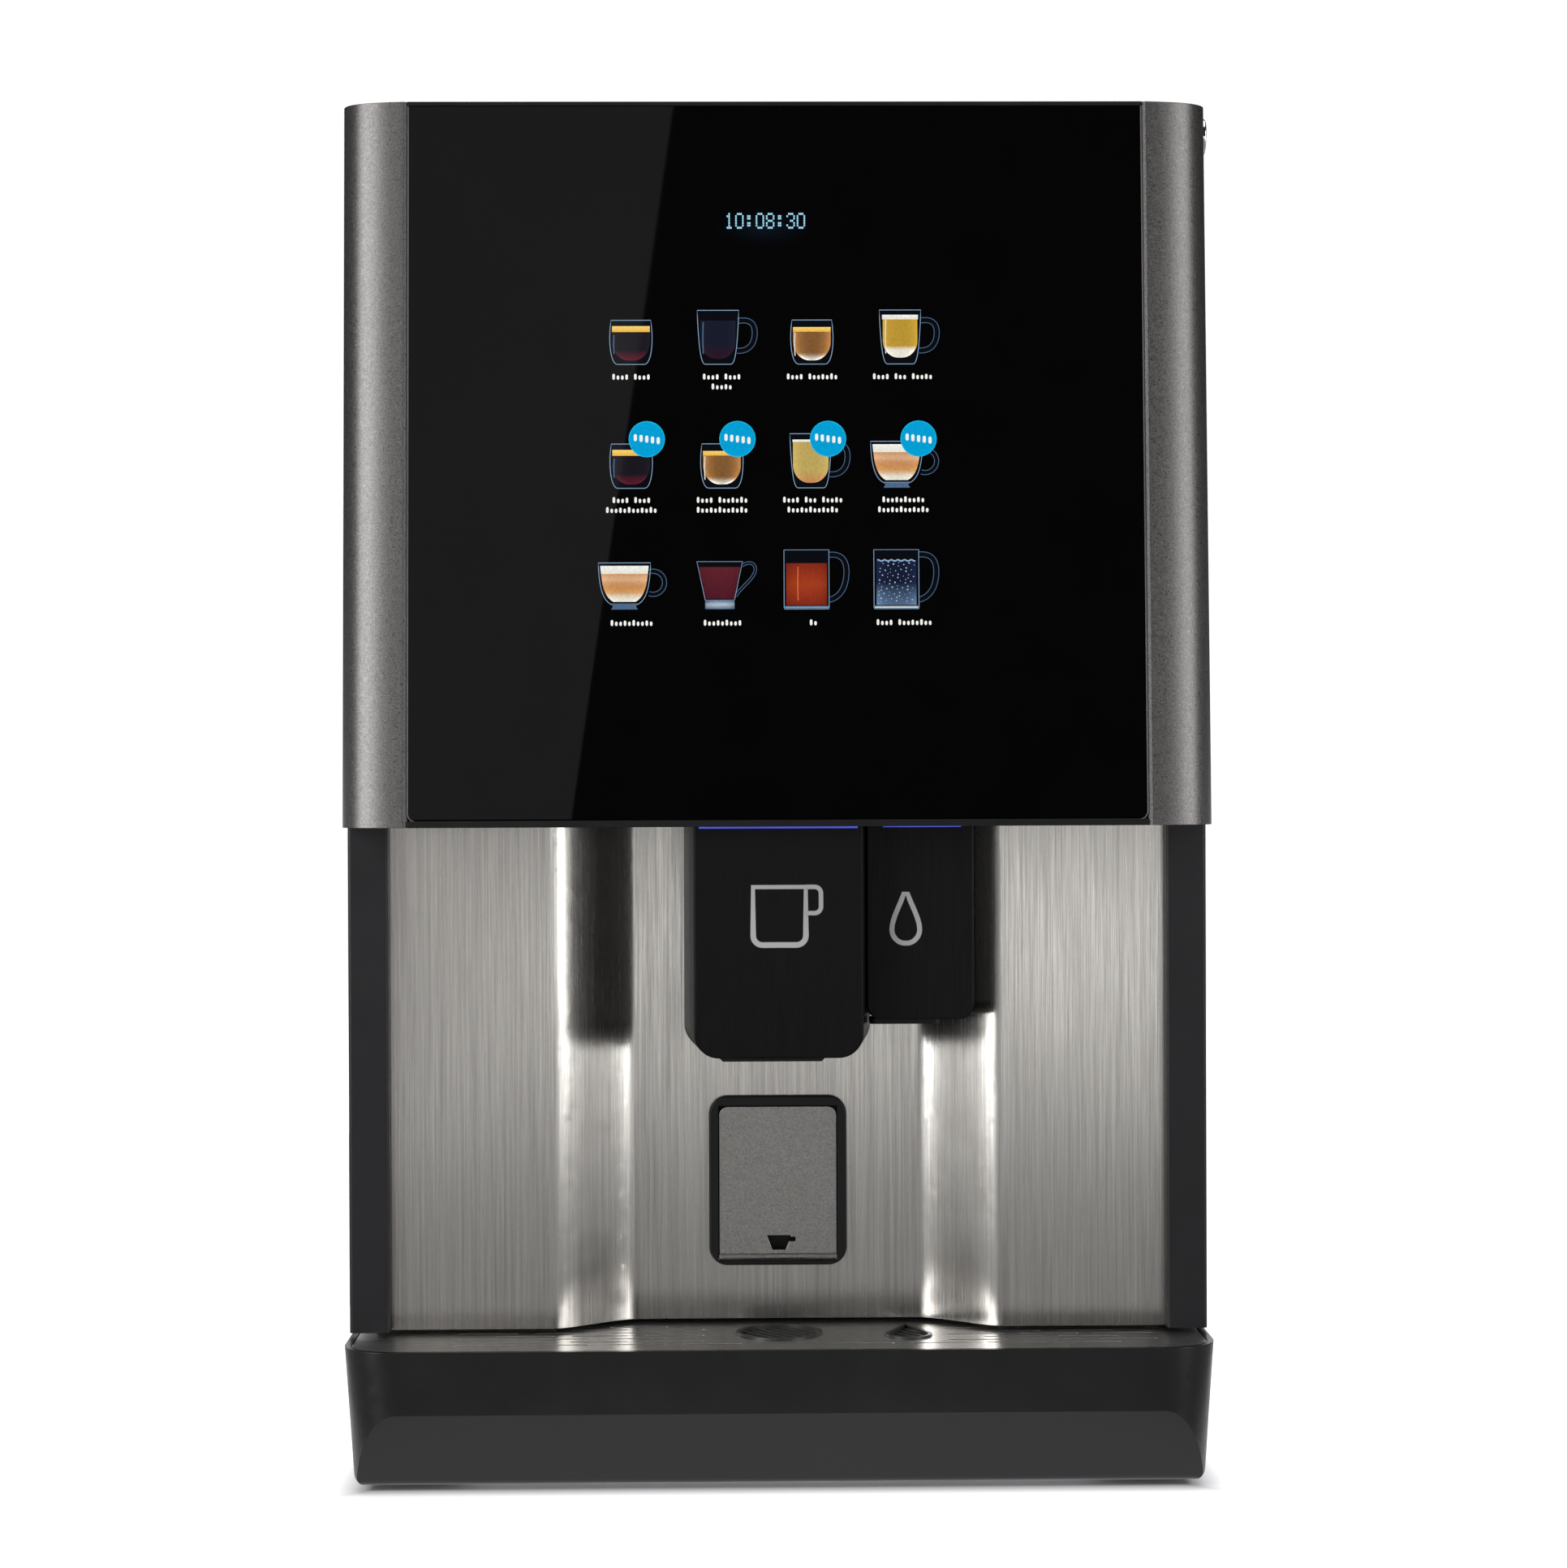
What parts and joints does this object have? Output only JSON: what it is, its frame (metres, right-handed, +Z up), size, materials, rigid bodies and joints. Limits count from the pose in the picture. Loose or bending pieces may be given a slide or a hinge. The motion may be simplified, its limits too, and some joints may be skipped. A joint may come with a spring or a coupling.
{
  "type": "hot coffee vending machine",
  "caption": "Tabletop hot-drinks vending machine with a glass selection door, recessed steel cup bay, two spouts, folding cup shelf, drip tray and full internal works.",
  "frame": {"origin": "on the counter, under the middle of the machine's outer box", "axes": "+X to the machine's right seen from the front, +Y to its rear, +Z up; the door faces -Y"},
  "size_m": [0.421, 0.562, 0.66],
  "materials": {
    "dark_satin_metal": "satin dark grey, fine grain",
    "black_glass": "polished, black backed",
    "black_plastic": "fine satin",
    "black_brushed": "black, finely brushed",
    "grained_black": "fine leather grain",
    "steel": "brushed vertically",
    "tray_plastic": "satin charcoal",
    "insert_metal": "dark with a metal ring",
    "cabinet_paint": "light grey powder coat",
    "dark_paint": "dark grey powder coat",
    "galvanised": "zinc-plated sheet",
    "liner_plastic": "moulded grey",
    "rubber": "matt",
    "white_plastic": "moulded white",
    "blue_plastic": "moulded blue",
    "milky_plastic": "translucent moulded",
    "smoke_plastic": "smoked clear plastic",
    "bin_plastic": "moulded black",
    "motor_black": "motor casing",
    "alloy": "cast and machined",
    "burr_steel": "ground steel",
    "boiler_steel": "satin",
    "brass": "machined",
    "tube_plastic": "white tube",
    "pump_plastic": "moulded",
    "circuit_board": "green board",
    "chrome": "polished"
  },
  "bodies": {
    "cabinet": {"base_pan": "galvanised", "feet": "rubber", "side_panel_left": "cabinet_paint", "side_panel_right": "cabinet_paint", "side_vent_covers": "cabinet_paint", "back_panel": "dark_paint", "top_panel": "dark_paint", "front_frame": "galvanised", "hinge_brackets": "galvanised", "canister_shelf": "galvanised", "powder_canisters": "white_plastic", "canister_lids": "blue_plastic", "powder_chutes": "white_plastic", "mixer_bowls": "milky_plastic", "gear_motors": "motor_black", "bean_hopper": "smoke_plastic", "grinder_body": "alloy", "grinder_motor": "galvanised", "brew_frame": "galvanised", "brew_motor": "motor_black", "grounds_bin": "bin_plastic", "boiler": "boiler_steel", "valve_block": "brass", "hot_water_tubes": "tube_plastic", "water_pump": "pump_plastic", "water_inlet": "brass", "power_inlet": "black_plastic", "power_supply": "galvanised", "control_board": "circuit_board", "fan_frame": "black_plastic"},
    "drip_tray": {"drip_tray": "tray_plastic", "tray_plate": "steel", "tray_inserts": "insert_metal"},
    "door": {"door_frame": "black_plastic", "pillar_left": "dark_satin_metal", "pillar_right": "dark_satin_metal", "glass_panel": "black_glass", "display_module": "black_plastic", "door_liner": "liner_plastic", "post_left": "grained_black", "post_right": "grained_black", "steel_panel": "steel", "cup_shelf_frame": "black_plastic", "coffee_spout_cover": "black_brushed", "water_spout_cover": "black_brushed", "spout_nozzles": "black_plastic", "lock_body": "chrome"},
    "cup_shelf": {"cup_shelf": "steel"},
    "lock_barrel": {"lock_barrel": "chrome"},
    "hopper_lid": {"hopper_lid": "dark_paint"},
    "powder_auger_left": {"powder_auger_left": "white_plastic"},
    "powder_auger_middle": {"powder_auger_middle": "white_plastic"},
    "powder_auger_right": {"powder_auger_right": "white_plastic"},
    "mixer_whipper_left": {"mixer_whipper_left": "milky_plastic"},
    "mixer_whipper_right": {"mixer_whipper_right": "milky_plastic"},
    "grinder_burr": {"grinder_burr": "burr_steel"},
    "brew_piston": {"brew_piston": "bin_plastic"},
    "brew_screw": {"brew_screw": "burr_steel"},
    "fan_rotor": {"fan_rotor": "black_plastic"},
    "power_switch": {"power_switch": "black_plastic"}
  },
  "joints": [
    {"name": "door_hinge", "type": "hinge", "parent": "cabinet", "child": "door", "pos_m": [-0.1985, -0.214, 0.4], "axis": [0, 0, -1], "range_deg": [0, 95]},
    {"name": "cup_shelf_hinge", "type": "hinge", "parent": "door", "child": "cup_shelf", "pos_m": [0, -0.2026, 0.1012], "axis": [1, 0, 0], "range_deg": [0, 90]},
    {"name": "lock_turn", "type": "hinge", "parent": "door", "child": "lock_barrel", "pos_m": [0.2, -0.22, 0.6455], "axis": [1, 0, 0], "range_deg": [0, 90]},
    {"name": "drip_tray_slide", "type": "slide", "parent": "cabinet", "child": "drip_tray", "axis": [0, -1, 0], "range_m": [0, 0.11]},
    {"name": "hopper_lid_hinge", "type": "hinge", "parent": "cabinet", "child": "hopper_lid", "pos_m": [-0.107, 0.109, 0.6576], "axis": [-1, 0, 0], "range_deg": [0, 100]},
    {"name": "powder_auger_left_spin", "type": "hinge", "parent": "cabinet", "child": "powder_auger_left", "pos_m": [0.028, 0, 0.458], "axis": [0, 1, 0], "continuous": true},
    {"name": "powder_auger_middle_spin", "type": "hinge", "parent": "cabinet", "child": "powder_auger_middle", "pos_m": [0.096, 0, 0.458], "axis": [0, 1, 0], "continuous": true},
    {"name": "powder_auger_right_spin", "type": "hinge", "parent": "cabinet", "child": "powder_auger_right", "pos_m": [0.164, 0, 0.458], "axis": [0, 1, 0], "continuous": true},
    {"name": "whipper_left_spin", "type": "hinge", "parent": "cabinet", "child": "mixer_whipper_left", "pos_m": [0.062, -0.15, 0.345], "axis": [0, 1, 0], "continuous": true},
    {"name": "whipper_right_spin", "type": "hinge", "parent": "cabinet", "child": "mixer_whipper_right", "pos_m": [0.164, -0.15, 0.345], "axis": [0, 1, 0], "continuous": true},
    {"name": "grinder_burr_spin", "type": "hinge", "parent": "cabinet", "child": "grinder_burr", "pos_m": [-0.107, -0.027, 0.455], "axis": [0, 0, 1], "continuous": true},
    {"name": "piston_slide", "type": "slide", "parent": "cabinet", "child": "brew_piston", "axis": [0, 0, 1], "range_m": [0, 0.04]},
    {"name": "screw_turn", "type": "hinge", "parent": "cabinet", "child": "brew_screw", "pos_m": [-0.071, -0.125, 0.32], "axis": [0, 0, 1], "range_deg": [-1, 721]},
    {"name": "fan_rotor_spin", "type": "hinge", "parent": "cabinet", "child": "fan_rotor", "pos_m": [-0.14, 0.256, 0.585], "axis": [0, 1, 0], "continuous": true},
    {"name": "power_switch_rock", "type": "hinge", "parent": "cabinet", "child": "power_switch", "pos_m": [-0.168, 0.2695, 0.062], "axis": [1, 0, 0], "range_deg": [-8, 8]}
  ],
  "couplings": [
    {"joint": "screw_turn", "follows": "piston_slide", "rad_per_m": 314.16}
  ]
}
